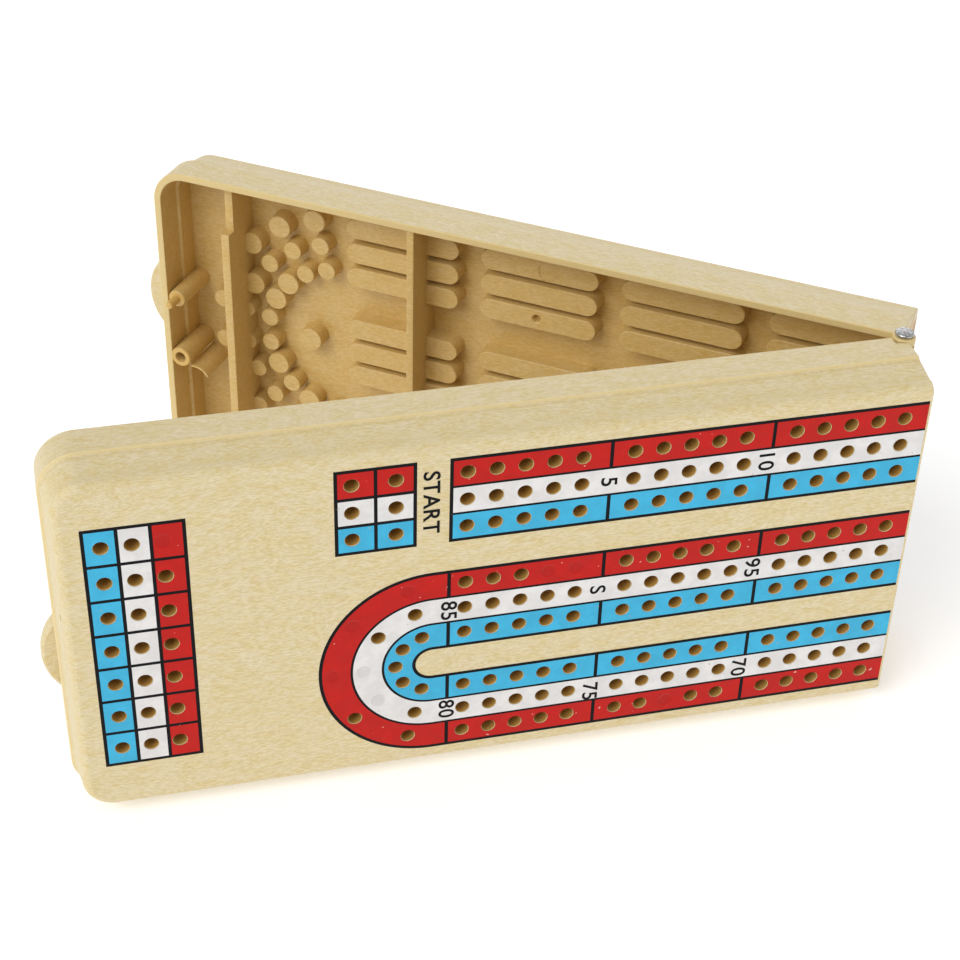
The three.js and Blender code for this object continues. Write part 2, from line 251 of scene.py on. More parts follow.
# Noise of the plastic's streaks: stretch along the board, scale, detail and roughness
FIBRE = (0.16, 4800, 2, 0.6)
WISP = (0.2, 2400, 3, 0.65)
PATCH = (0.4, 520, 4, 0.7)
FIBRE_WEIGHT = 0.6
WISP_WEIGHT = 0.4
DRIFT_SCALE = 22
DRIFT = 0.009                   # how far the streaks wander, in metres
PEARL_SPAN = (0.4, 0.6)         # where the streaks' noise turns pearly
WARM_SPAN = (0.42, 0.6)
# Where the streaks break up the painted shade at the face's edge
EDGE_SHADE_SPAN = (0.42, 0.6)
GRAIN_SCALE = 900
GRAIN_BUMP = (0.12, 0.0002)     # strength and distance in metres
NOISE_RANGE = (0.3, 0.7)
PLASTIC_ROUGHNESS = (0.4, 0.5)  # at the ends of the noise's range

# Where the plastic's colour changes for painted light and shade, in mm: bands of depth (from, to,
# softness) and insets
RIDGE_BAND = (8.2, 8.62, 0.15)
RIDGE_INSET = (0.9, 1.3)
RIDGE_FOOT_BAND = (8.95, 9.4, 0.25)
RIDGE_FOOT_INSET = (1.2, 1.6)
FACE_EDGE_BAND = (12.8, 16.2, 1.1)
FACE_EDGE_INSET = (2.6, 4.6)
FACE_EDGE_SHADE = 0.6
RIM_FADE = (0.25, 0.5)
TRAY_INSET = (1.75, 1.85)
TRAY_FADE = (13.45, 13.6)
HOLE_INSET = (4.5, 5)
HOLE_BAND = (13.5, 17.04, 0.08)

# Inks: colour and colour of the specks
BLACK_INK = ((0.006, 0.0055, 0.007, 1), (0.05, 0.05, 0.05, 1))
RED_INK = ((0.55, 0.007, 0.003, 1), (0.75, 0.4, 0.35, 1))
WHITE_INK = ((0.8, 0.78, 0.765, 1), (0.45, 0.45, 0.33, 1))
BLUE_INK = ((0.055, 0.47, 0.74, 1), (0.2, 0.4, 0.5, 1))
INK_SHINE = 0.2
BLACK_SHINE = 0.1
MOTTLE = (260, 3, 0.6)          # scale, detail and roughness of its noise
MOTTLE_SPAN = (0.35, 0.7)
SPECKS = (900, 1, 0.4)
SPECK_SPAN = (0.79, 0.81)
INK_GRAIN_SCALE = 700
INK_GRAIN_HEIGHT = 0.3
INK_BUMP = (0.45, 0.0001)
INK_ROUGHNESS = (0.36, 0.5)
MOTTLE_SHADE = 0.88
SUNKEN_SHADE = 0.72
DIMPLE_EDGE = (1.2 * MM, 1.8 * MM)      # where a dimple starts to fade and where it ends
DIMPLE_TONE = 0.5
DIMPLE_HEIGHT = 3

# Steel of the pins
STAINED_STEEL = (0.32, 0.31, 0.3, 1)
BRIGHT_STEEL = (0.66, 0.66, 0.68, 1)
STAINS = (1500, 3, 0.6)
STAIN_SPAN = (0.35, 0.7)
DENTS = (1100, 3, 0.6)
DENT_BUMP = (0.5, 0.0003)
STEEL_ROUGHNESS = (0.42, 0.26)

# Camera, in metres and degrees
CAMERA_PLACE = (-0.09004, -0.38068, 0.31134)
CAMERA_AZIMUTH = 14.629
CAMERA_DIP = 35.896
CAMERA_ROLL = 1.71
CAMERA_LENS = 74.415
SENSOR_WIDTH = 36
NEAR_CLIP = 0.01

# Floor and lights
FLOOR_REACH = 8
FLOOR_COLOUR = (0.93, 0.93, 0.93, 1)
FLOOR_ROUGHNESS = 0.9
FLOOR_GLOW = 0.28
WHITE = (1, 1, 1, 1)
SKY = 0.6
KEY = 1.42
KEY_PLACE = (-0.6, -0.37, 0.62)
KEY_SPREAD = 40                 # in degrees
BACK = 2.5
BACK_PLACE = (0.5, 1.2, 0.6)
BACK_SIZE = 1.0


# ---- Outlines: lists of (x, z) points ----

def arc(centre, radius, start, end, steps):
    """Points on an arc between two angles in degrees."""
    points = []
    for i in range(steps + 1):
        angle = math.radians(start + (end - start) * i / steps)
        points.append((centre[0] + radius * math.cos(angle), centre[1] + radius * math.sin(angle)))
    return points


def disc(x, z, radius, steps=32):
    """A round outline, without its first point again at the end."""
    return arc((x, z), radius, 0, 360 - 360 / steps, steps - 1)


def stadium(x0, x1, z, radius, steps=12):
    """A bar with round ends, whose end circles have their centres at x0 < x1."""
    return arc((x1, z), radius, -90, 90, steps) + arc((x0, z), radius, 90, 270, steps)


def rectangle(x0, x1, z0, z1):
    return [(x0, z0), (x1, z0), (x1, z1), (x0, z1)]


def plan(inset, hinge_x, hinge_radius=OUTER_HINGE_CORNER):
    """The outline of a half, set in from the outside, with round corners at the free end."""
    width = HALF_WIDTH - inset
    free_x = -HALF_LENGTH + inset
    radius = max(CORNER_RADIUS - inset, LEAST_CORNER_RADIUS)
    near = hinge_x - hinge_radius
    return (
        arc((near, width - hinge_radius), hinge_radius, 0, 90, HINGE_CORNER_STEPS)
        + arc((free_x + radius, width - radius), radius, 90, 180, CORNER_STEPS)
        + arc((free_x + radius, radius - width), radius, 180, 270, CORNER_STEPS)
        + arc((near, hinge_radius - width), hinge_radius, 270, 360, HINGE_CORNER_STEPS)
    )


def u_shape(centre_z, inner, outer, turn_x, end_x, steps=48):
    """A track band that runs along one lane, round a half circle and back along another."""
    outside = arc((turn_x, centre_z), outer, 90, 270, steps)
    inside = arc((turn_x, centre_z), inner, 270, 90, steps)
    return (
        [(end_x, centre_z + outer)] + outside + [(end_x, centre_z - outer)]
        + [(end_x, centre_z - inner)] + inside + [(end_x, centre_z + inner)]
    )


# ---- Solids: (points, faces) pairs ----

def loft(rings):
    """A closed solid through rings of equal length, each a list of points."""
    count = len(rings[0])
    points = [p for ring in rings for p in ring]
    faces = []
    for r in range(len(rings) - 1):
        for i in range(count):
            j = (i + 1) % count
            faces.append((r * count + i, r * count + j, (r + 1) * count + j, (r + 1) * count + i))
    faces.append(tuple(range(count)))
    faces.append(tuple(range((len(rings) - 1) * count, len(rings) * count)))
    return points, faces


def pillar(outline_at, levels):
    """A solid whose outline changes with depth.

    Levels are (depth, size) pairs. A size is a growth, an inset or a radius, and outline_at
    turns it into an outline.
    """
    return loft([[(x, -depth, z) for x, z in outline_at(size)] for depth, size in levels])


def prism(outline, deep, shallow):
    return pillar(lambda grow: outline, [(deep, 0), (shallow, 0)])


def plate(outline, low, high):
    """A prism across the board; its outline holds (x, y) points."""
    return loft([[(x, y, z) for x, y in outline] for z in (low, high)])


def lathe(profile, steps=40):
    """A solid turned round the hinge axis from (radius, z) points."""
    rings = [[(x, y, z) for x, y in disc(0, 0, radius, steps)] for radius, z in profile]
    return loft(rings)


def add_object(name, data):
    made = bpy.data.objects.new(name, data)
    bpy.context.scene.collection.objects.link(made)
    return made


def evaluated_mesh(source):
    """A new mesh of an object as it is with its modifiers, or of a text."""
    graph = bpy.context.evaluated_depsgraph_get()
    return bpy.data.meshes.new_from_object(source.evaluated_get(graph))


def solid_object(name, solids):
    """One object in mm that holds all the solids, with its faces pointing out."""
    mesh = bpy.data.meshes.new(name)
    points, faces = [], []
    for solid_points, solid_faces in solids:
        start = len(points)
        points += solid_points
        faces += [tuple(start + i for i in face) for face in solid_faces]
    mesh.from_pydata(points, [], faces)
    edit = bmesh.new()
    edit.from_mesh(mesh)
    bmesh.ops.recalc_face_normals(edit, faces=edit.faces)
    edit.to_mesh(mesh)
    edit.free()
    return add_object(name, mesh)


def combine(piece, operation, solids):
    """Joins solids to a piece, or cuts them from it."""
    other = solid_object("tool", solids)
    modifier = piece.modifiers.new(operation, "BOOLEAN")
    modifier.operation = operation
    modifier.solver = "MANIFOLD"
    modifier.object = other
    mesh = evaluated_mesh(piece)
    piece.modifiers.clear()
    piece.data = mesh
    bpy.data.objects.remove(other)


# ---- Holes ----

def lane_groups(lane_z, groups, last_hole):
    """The groups of five holes of one lane, each a list of (x, z) points."""
    found = []
    for row in ROWS:
        for group in range(groups):
            nearest = last_hole - group * GROUP_PITCH
            z = lane_z + row * ROW_PITCH
            found.append([(nearest - i * HOLE_PITCH, z) for i in range(GROUP_SIZE)])
    return found


def all_groups(groups, last_hole):
    """The groups of the three lanes, from the upper one down."""
    return [g for lane in (1, 0, -1) for g in lane_groups(lane * LANE_PITCH, groups, last_hole)]


def turn_hole(turn_x, centre_z, radius, row, degrees):
    angle = math.radians(degrees)
    reach = radius + row * ROW_PITCH
    return turn_x - reach * math.sin(angle), centre_z + reach * math.cos(angle)


def turn_holes(turn, angles):
    """The holes of a half circle; turn is its middle's x and z and its radius."""
    return [turn_hole(*turn, row, degrees) for row in ROWS for degrees in angles]


def start_holes():
    return [(x, LANE_PITCH + row * ROW_PITCH) for x in START_COLUMNS for row in ROWS]


def counter_row_z(index):
    """Where a row of the counter lies across the board, from the upper wall down."""
    return COUNTER_Z + ((COUNTER_ROWS - 1) / 2 - index) * COUNTER_ROW


def counter_holes():
    return [
        (COUNTER_X + column * COUNTER_COLUMN, counter_row_z(i))
        for i in range(COUNTER_ROWS) for column in ROWS
    ]


FRONT_TURN = (FRONT_TURN_X, -LANE_PITCH / 2, LANE_PITCH / 2)
REAR_TURN = (REAR_TURN_X, 0, LANE_PITCH)
FRONT_SINGLES = turn_holes(FRONT_TURN, FRONT_TURN_ANGLES) + start_holes() + counter_holes()
REAR_SINGLES = turn_holes(REAR_TURN, REAR_TURN_ANGLES)


def rear_boss_radius(index):
    """The rear's turn has wide and slim bosses mixed."""
    place = (ROWS[index // len(REAR_TURN_ANGLES)], index % len(REAR_TURN_ANGLES))
    return WIDE_BOSS_RADIUS if place in WIDE_BOSSES else SLIM_BOSS_RADIUS


FRONT_BOSSES = [(hole, BAR_RADIUS) for hole in FRONT_SINGLES]
REAR_BOSSES = [(hole, rear_boss_radius(i)) for i, hole in enumerate(REAR_SINGLES)]
REAR_BOSSES.append(((FINISH_X, 0), FINISH_BOSS_RADIUS))

# Holes that ink has filled on the front: they show only as faint dimples
FILLED_HOLES = [
    (COUNTER_X + COUNTER_COLUMN, counter_row_z(0)),
    (FRONT_LAST_HOLE - 2 * GROUP_PITCH, ROW_PITCH),
    (FRONT_LAST_HOLE - 2 * GROUP_PITCH - HOLE_PITCH, ROW_PITCH),
    (FRONT_LAST_HOLE - GROUP_PITCH - 2 * HOLE_PITCH, -LANE_PITCH - ROW_PITCH),
]
FILLED_HOLES += [turn_hole(*FRONT_TURN, *place) for place in FILLED_TURN_HOLES]


def is_filled(hole):
    return any(math.dist(hole, filled) < 1 for filled in FILLED_HOLES)


def hole_cutter(hole):
    return pillar(lambda grow: disc(*hole, HOLE_RADIUS + grow), HOLE_PROFILE)


# ---- The moulding ----

def outer_levels():
    """The outside's (depth, inset) corners, from the rim to the play face."""
    rim = arc((RIM_ROUNDING, RIM_ROUNDING), RIM_ROUNDING, 270, 180, 5)
    ridge = arc((RIDGE_RADIUS, SKIRT_END), RIDGE_RADIUS, 180, 90, 6)
    centre = (FACE_ROUND_INSET + FACE_ROUNDING, FACE_DEPTH - FACE_ROUNDING)
    face_edge = arc(centre, FACE_ROUNDING, 180 + WALL_DRAFT, 90, 14)
    return (
        [(RIM_DEPTH + depth, inset) for inset, depth in rim]
        + [(depth, inset) for inset, depth in ridge]
        + [RIDGE_FOOT]
        + [(depth, inset) for inset, depth in face_edge]
    )


def tray():
    """The hollow half with its ridge, rounded play face and stepped inside wall."""
    shell = [
        [(x, -depth, z) for x, z in plan(inset, -END_GAP)] for depth, inset in outer_levels()
    ]
    piece = solid_object("moulding", [loft(shell)])
    pocket = pillar(lambda inset: plan(inset, -END_GAP - inset, INNER_HINGE_CORNER), POCKET)
    combine(piece, "DIFFERENCE", [pocket])
    return piece


def rib(place, top, z0, z1):
    """A cross rib with a draft on its sides and a rounded top."""
    levels = [(BELOW_FLOOR, 0.12), (top + 0.35, 0), (top + 0.08, -0.12), (top, -0.35)]
    x, thickness = place

    def outline(grow):
        half = thickness / 2 + grow
        return rectangle(x - half, x + half, z0, z1)

    return pillar(outline, levels)


def raised(outline_at, top):
    """A bar or boss on the floor, with a draft and a rounded top edge."""
    levels = [(BELOW_FLOOR, 0.32), (FLOOR_DEPTH, 0.26), (FLOOR_DEPTH - 0.4, 0.1),
              (top + 0.35, 0), (top + 0.15, -0.06), (top + 0.04, -0.18), (top, -0.38)]
    return pillar(outline_at, levels)


def bar(group):
    """The bar behind a group of five holes; the one nearest the hinge ends in the wall."""
    z = group[0][1]
    near = min(group[0][0], -END_GAP - WALL - BAR_RADIUS - BAR_SETBACK)
    far = group[-1][0]
    return raised(lambda grow: stadium(far, near, z, BAR_RADIUS + grow), BAR_DEPTH)


def ejector_mark(x, z, radius, surface):
    """A shallow round recess with a soft edge."""
    levels = [(surface - 2, 0.1), (surface, 0.08), (surface + 0.14, 0)]
    return pillar(lambda grow: disc(x, z, radius + grow, MARK_STEPS), levels)


def gate_mark(x, z, radius, surface):
    """A deeper dimple with a narrow bottom."""
    levels = [(surface - 2, 0), (surface, 0), (surface + 0.3, -0.3), (surface + 1.6, -0.45)]
    return pillar(lambda grow: disc(x, z, radius + grow, ROUND_STEPS), levels)


def boss(hole, radius):
    return raised(lambda grow: disc(*hole, radius + grow, ROUND_STEPS), BOSS_DEPTH)


def free_end_fittings():
    """The locating post, the socket and the leaf beside it."""
    centres = []
    for i in range(LEAF_STEPS + 1):
        t = i / LEAF_STEPS
        weights = ((1 - t) ** 2, 2 * t * (1 - t), t ** 2)
        centres.append(Vector([sum(w * p[k] for w, p in zip(weights, LEAF)) for k in (0, 1)]))

    def leaf_outline(grow):
        sides = ([], [])
        for i, centre in enumerate(centres):
            along = (centres[min(i + 1, LEAF_STEPS)] - centres[max(i - 1, 0)]).normalized()
            across = Vector((-along.y, along.x)) * (LEAF_HALF_THICKNESS + grow)
            sides[0].append(tuple(centre + across))
            sides[1].append(tuple(centre - across))
        return sides[0] + sides[1][::-1]

    return [
        pillar(lambda radius: disc(LOCATOR_X, -LOCATOR_Z, radius, ROUND_STEPS), POST),
        pillar(lambda radius: disc(LOCATOR_X, LOCATOR_Z, radius, ROUND_STEPS), SOCKET),
        pillar(leaf_outline, LEAF_PROFILE),
    ]


def socket_bore():
    return pillar(lambda radius: disc(LOCATOR_X, LOCATOR_Z, radius, ROUND_STEPS), SOCKET_BORE)


def finger_tab():
    """A segment of a circle with rounded edges, on the outside of the free end."""
    radius = (TAB_HALF_LENGTH ** 2 + TAB_REACH ** 2) / (2 * TAB_REACH)
    centre_x = -HALF_LENGTH - TAB_REACH + radius
    half_angle = math.degrees(math.asin(TAB_HALF_LENGTH / radius))
    top, bottom = TAB_DEPTHS

    def outline(grow):
        start, end = 180 - half_angle, 180 + half_angle
        edge = arc((centre_x, TAB_Z), radius + grow, start, end, ROUND_STEPS)
        root_x = -HALF_LENGTH + TAB_ROOT
        return [(root_x, edge[0][1])] + edge + [(root_x, edge[-1][1])]

    levels = [(top, -0.7), (top + 0.1, -0.35), (top + 0.35, -0.1), (top + 0.8, 0),
              (bottom - 0.9, 0), (bottom - 0.3, -0.15), (bottom, -0.6)]
    return pillar(outline, levels)


def knuckle(low, high):
    """A round of the hinge with softened edges."""
    inner = KNUCKLE_RADIUS - KNUCKLE_ROUNDING
    return lathe([(inner, low), (KNUCKLE_RADIUS, low + KNUCKLE_ROUNDING),
                  (KNUCKLE_RADIUS, high - KNUCKLE_ROUNDING), (inner, high)])


def through_hole(radius, low, high):
    """A cutter round the hinge axis that reaches past both ends."""
    return lathe([(radius, low - OVERRUN), (radius, high + OVERRUN)])


def with_barrel(piece):
    """The barrel at the positive-z wall, under the notch for the other half's ear."""
    top = HALF_WIDTH - EAR_THICKNESS - HINGE_GAP
    bottom = top - BARREL_LENGTH
    combine(piece, "DIFFERENCE", [plate(NOTCH, top, HALF_WIDTH + OVERRUN)])
    web_far = -KNUCKLE_RADIUS + WEB_INSET
    web_near = -END_GAP - WEB_INSET
    web = [(web_far, 0), (web_far, -BARREL_ROOT), (web_near, -BARREL_ROOT), (web_near, 0)]
    combine(piece, "UNION", [plate(web, bottom + WEB_INSET, top - WEB_INSET)])
    combine(piece, "UNION", [knuckle(bottom, top)])
    combine(piece, "DIFFERENCE", [through_hole(PIN_RADIUS + PIN_PLAY, bottom, top)])


def with_ear(piece):
    """The ear at the negative-z wall, with room beside it for the other half's barrel."""
    inner = -HALF_WIDTH + EAR_THICKNESS
    room_top = inner + 2 * HINGE_GAP + BARREL_LENGTH
    room = lathe([(KNUCKLE_RADIUS + HINGE_GAP, inner), (KNUCKLE_RADIUS + HINGE_GAP, room_top)])
    combine(piece, "DIFFERENCE", [room])
    combine(piece, "UNION", [knuckle(-HALF_WIDTH, inner)])
    combine(piece, "DIFFERENCE", [through_hole(PIN_RADIUS + PIN_PLAY, -HALF_WIDTH, inner)])


def moulding(name, groups, bosses):
    """A half with all that is moulded on it but its holes."""
    piece = tray()
    piece.name = name
    reach = HALF_WIDTH - WALL + WALL_OVERLAP
    combine(piece, "UNION", [
        rib(MIDDLE_RIB, RIB_DEPTH, -reach, reach),
        rib(PEG_RIB, RIB_DEPTH, -LOW_RIB_REACH, reach),
    ])
    combine(piece, "UNION", [rib(PEG_RIB, LOW_RIB_DEPTH, -reach, -LOW_RIB_REACH + RIB_OVERLAP)])
    combine(piece, "UNION", free_end_fittings())
    combine(piece, "DIFFERENCE", [socket_bore()])
    combine(piece, "UNION", [finger_tab()])
    combine(piece, "UNION", [bar(group) for group in groups])
    # Neighbouring bosses touch, so they are joined in thirds in which none do
    for start in (0, 1, 2):
        combine(piece, "UNION", [boss(hole, radius) for hole, radius in bosses[start::3]])
    marks = [ejector_mark(*mark) for mark in EJECTOR_MARKS] + [gate_mark(*GATE_MARK)]
    combine(piece, "DIFFERENCE", marks)
    with_barrel(piece)
    with_ear(piece)
    return piece


# ---- The print ----

def black_slab(outline):
    return prism(outline, FACE_DEPTH - INK_ROOT, BLACK_TOP)


def colour_slab(outline):
    return prism(outline, BLACK_TOP - COLOUR_ROOT, COLOUR_TOP)


def row_bounds(row):
    """The edges of one colour band across a lane, measured from the lane's centre line."""
    middle = ROW_PITCH / 2
    if row == 0:
        return -middle + INNER_LINE / 2, middle - INNER_LINE / 2
    near, far = middle + INNER_LINE / 2, LANE_HALF - OUTER_LINE
    return (near, far) if row > 0 else (-far, -near)


def spans(far_x, near_x, dividers):
    """The stretches of a band between its dividers, as (x0, x1) pairs."""
    stops = sorted(d for d in dividers if far_x < d < near_x)
    starts = [far_x] + [d + DIVIDER / 2 for d in stops]
    ends = [d - DIVIDER / 2 for d in stops] + [near_x]
    return list(zip(starts, ends))


def straight_lane(inks, centre_z, far_x, near_x, dividers, colours):
    """A lane of three bands; dividers cross its two outer bands."""
    ground = rectangle(far_x, near_x, centre_z - LANE_HALF, centre_z + LANE_HALF)
    inks["black"].append(black_slab(ground))
    for row, colour in zip((1, 0, -1), colours):
        low, high = row_bounds(row)
        stops = dividers if row else ()
        for x0, x1 in spans(far_x + OUTER_LINE, near_x, stops):
            inks[colour].append(colour_slab(rectangle(x0, x1, centre_z + low, centre_z + high)))


def turning_lane(inks, centre_z, radius, turn_x, dividers, colours):
    """Two lanes joined by a half circle; colours run from the outside in."""
    track = u_shape(centre_z, radius - LANE_HALF, radius + LANE_HALF, turn_x, PRINT_END)
    inks["black"].append(black_slab(track))
    bend_end = min(dividers)
    for row, colour in zip((1, 0, -1), colours):
        low, high = (radius + bound for bound in row_bounds(row))
        if row == 0:
            inks[colour].append(colour_slab(u_shape(centre_z, low, high, turn_x, PRINT_END)))
            continue
        bend = u_shape(centre_z, low, high, turn_x, bend_end - DIVIDER / 2)
        inks[colour].append(colour_slab(bend))
        for x0, x1 in spans(bend_end + DIVIDER / 2, PRINT_END, dividers):
            for side in (-1, 1):
                edges = sorted((centre_z + side * low, centre_z + side * high))
                inks[colour].append(colour_slab(rectangle(x0, x1, *edges)))


def even_lines(middle, pitch, cells):
    """The lines of a row of equal cells about a middle."""
    return [middle + (i - cells / 2) * pitch for i in range(cells + 1)]


def grid(inks, x_lines, z_lines, colour_of):
    """A ruled box of cells; colour_of takes a cell's column and row."""
    edge = GRID_LINE / 2
    ground = rectangle(x_lines[0] - edge, x_lines[-1] + edge, z_lines[0] - edge, z_lines[-1] + edge)
    inks["black"].append(black_slab(ground))
    for column, (x0, x1) in enumerate(zip(x_lines, x_lines[1:])):
        for row, (z0, z1) in enumerate(zip(z_lines, z_lines[1:])):
            cell = rectangle(x0 + edge, x1 - edge, z0 + edge, z1 - edge)
            inks[colour_of(column, row)].append(colour_slab(cell))


def no_ink():
    return {"black": [], "red": [], "white": [], "blue": []}


def front_print():
    """One straight lane, two joined by a turn, the start box and the counter."""
    inks = no_ink()
    straight_lane(inks, LANE_PITCH, FRONT_LANE_END, PRINT_END, FRONT_DIVIDERS[:2], FLAG)
    turn_x, turn_z = FRONT_TURN_PRINT
    turning_lane(inks, turn_z, LANE_PITCH / 2, turn_x, FRONT_DIVIDERS, FLAG)
    start_rows = [
        LANE_PITCH - LANE_HALF + START_EDGE,
        *even_lines(LANE_PITCH, ROW_PITCH, 1),
        LANE_PITCH + LANE_HALF - START_EDGE,
    ]
    grid(inks, START_LINES, start_rows, lambda column, row: FLAG[2 - row])
    columns = even_lines(COUNTER_PRINT_X, COUNTER_CELL, 3)
    rows = even_lines(COUNTER_Z, COUNTER_ROW, COUNTER_ROWS)
    grid(inks, columns, rows, lambda column, row: FLAG[2 - column])
    return inks


def rear_print():
    """Two lanes joined by a turn round a third one, which ends at the finish."""
    inks = no_ink()
    turning_lane(inks, 0, LANE_PITCH, REAR_TURN_X, REAR_DIVIDERS, FLAG)
    straight_lane(inks, 0, REAR_LANE_END, PRINT_END, REAR_DIVIDERS[:3], FLAG[::-1])
    inks["black"].append(black_slab(disc(FINISH_X, 0, FINISH_DISC, FINISH_STEPS)))
    inks["white"].append(colour_slab(disc(FINISH_X, 0, FINISH_WHITE, FINISH_STEPS)))
    return inks


def label(text, x, z, top_side):
    """A label whose top faces the hinge (top_side 1) or the free end (top_side -1)."""
    curve = bpy.data.curves.new("label", "FONT")
    curve.body = text
    curve.align_x = "CENTER"
    curve.align_y = "CENTER"
    curve.extrude = LETTER_EXTRUSION
    curve.offset = LETTER_WEIGHT
    curve.resolution_u = LETTER_FINENESS
    curve.space_character = LETTER_SPACING
    holder = add_object("label", curve)
    mesh = evaluated_mesh(holder)
    bpy.data.objects.remove(holder)
    edit = bmesh.new()
    edit.from_mesh(mesh)
    bmesh.ops.remove_doubles(edit, verts=edit.verts, dist=LETTER_MERGE_DISTANCE)
    xs = [v.co.x for v in edit.verts]
    ys = [v.co.y for v in edit.verts]
    middle = Vector(((min(xs) + max(xs)) / 2, (min(ys) + max(ys)) / 2, 0))
    scale = LETTER_HEIGHT / (max(ys) - min(ys))
    stretch = LONG_NUMBER_WIDTH if text.isdigit() and len(text) > 2 else LETTER_WIDTH
    low, high = -(BLACK_TOP + LETTER_ROOT), -PRINT_TOP
    points = []
    for v in edit.verts:
        flat = (v.co - middle) * scale
        y = high if v.co.z > 0 else low
        points.append((x + top_side * flat.y, y, z - top_side * flat.x * stretch))
    faces = [tuple(v.index for v in f.verts) for f in edit.faces]
    edit.free()
    bpy.data.meshes.remove(mesh)
    return points, faces


# ---- Materials ----

class Nodes:
    """A short way to write a material's nodes."""

    def __init__(self, name):
        self.material = bpy.data.materials.new(name)
        self.material.use_nodes = True
        self.tree = self.material.node_tree
        self.shader = self.tree.nodes["Principled BSDF"]
        place = self.tree.nodes.new("ShaderNodeAttribute")
        place.attribute_name = PLACE
        self.place = place.outputs["Vector"]

    def plug(self, value, socket):
        if isinstance(value, bpy.types.NodeSocket):
            self.tree.links.new(value, socket)
        else:
            socket.default_value = value

    def node(self, kind, inputs, output=0, **settings):
        made = self.tree.nodes.new(kind)
        for key, value in settings.items():
            setattr(made, key, value)
        for key, value in inputs.items():
            self.plug(value, made.inputs[key])
        return made.outputs[output]

    def noise(self, vector, scale, detail=2, roughness=0.5, output="Fac"):
        inputs = {"Vector": vector, "Scale": scale, "Detail": detail, "Roughness": roughness}
        return self.node("ShaderNodeTexNoise", inputs, output)

    def stretched(self, vector, scale):
        return self.node("ShaderNodeMapping", {"Vector": vector, "Scale": scale})

    def math(self, operation, a, b=0.0, c=0.0):
        inputs = {0: a, 1: b, 2: c}
        return self.node("ShaderNodeMath", inputs, operation=operation)

    def span(self, value, low, high, to_low=0.0, to_high=1.0):
        inputs = {"Value": value, "From Min": low, "From Max": high,
                  "To Min": to_low, "To Max": to_high}
        return self.node("ShaderNodeMapRange", inputs, interpolation_type="SMOOTHSTEP")

    def fade(self, value, low, high):
        """One up to low, falling to zero at high."""
        return self.span(value, low, high, 1, 0)

    def mix(self, factor, a, b):
        inputs = {"Factor": factor, 6: a, 7: b}
        return self.node("ShaderNodeMix", inputs, 2, data_type="RGBA")

    def darken(self, colour, factor, tone):
        inputs = {"Factor": factor, 6: colour, 7: tone}
        return self.node("ShaderNodeMix", inputs, 2, data_type="RGBA", blend_type="MULTIPLY")

    def bump(self, height, strength, distance):
        inputs = {"Height": height, "Strength": strength, "Distance": distance}
        self.plug(self.node("ShaderNodeBump", inputs), self.shader.inputs["Normal"])

    def finish(self, **inputs):
        for key, value in inputs.items():
            self.plug(value, self.shader.inputs[key.replace("_", " ")])
        return self.material


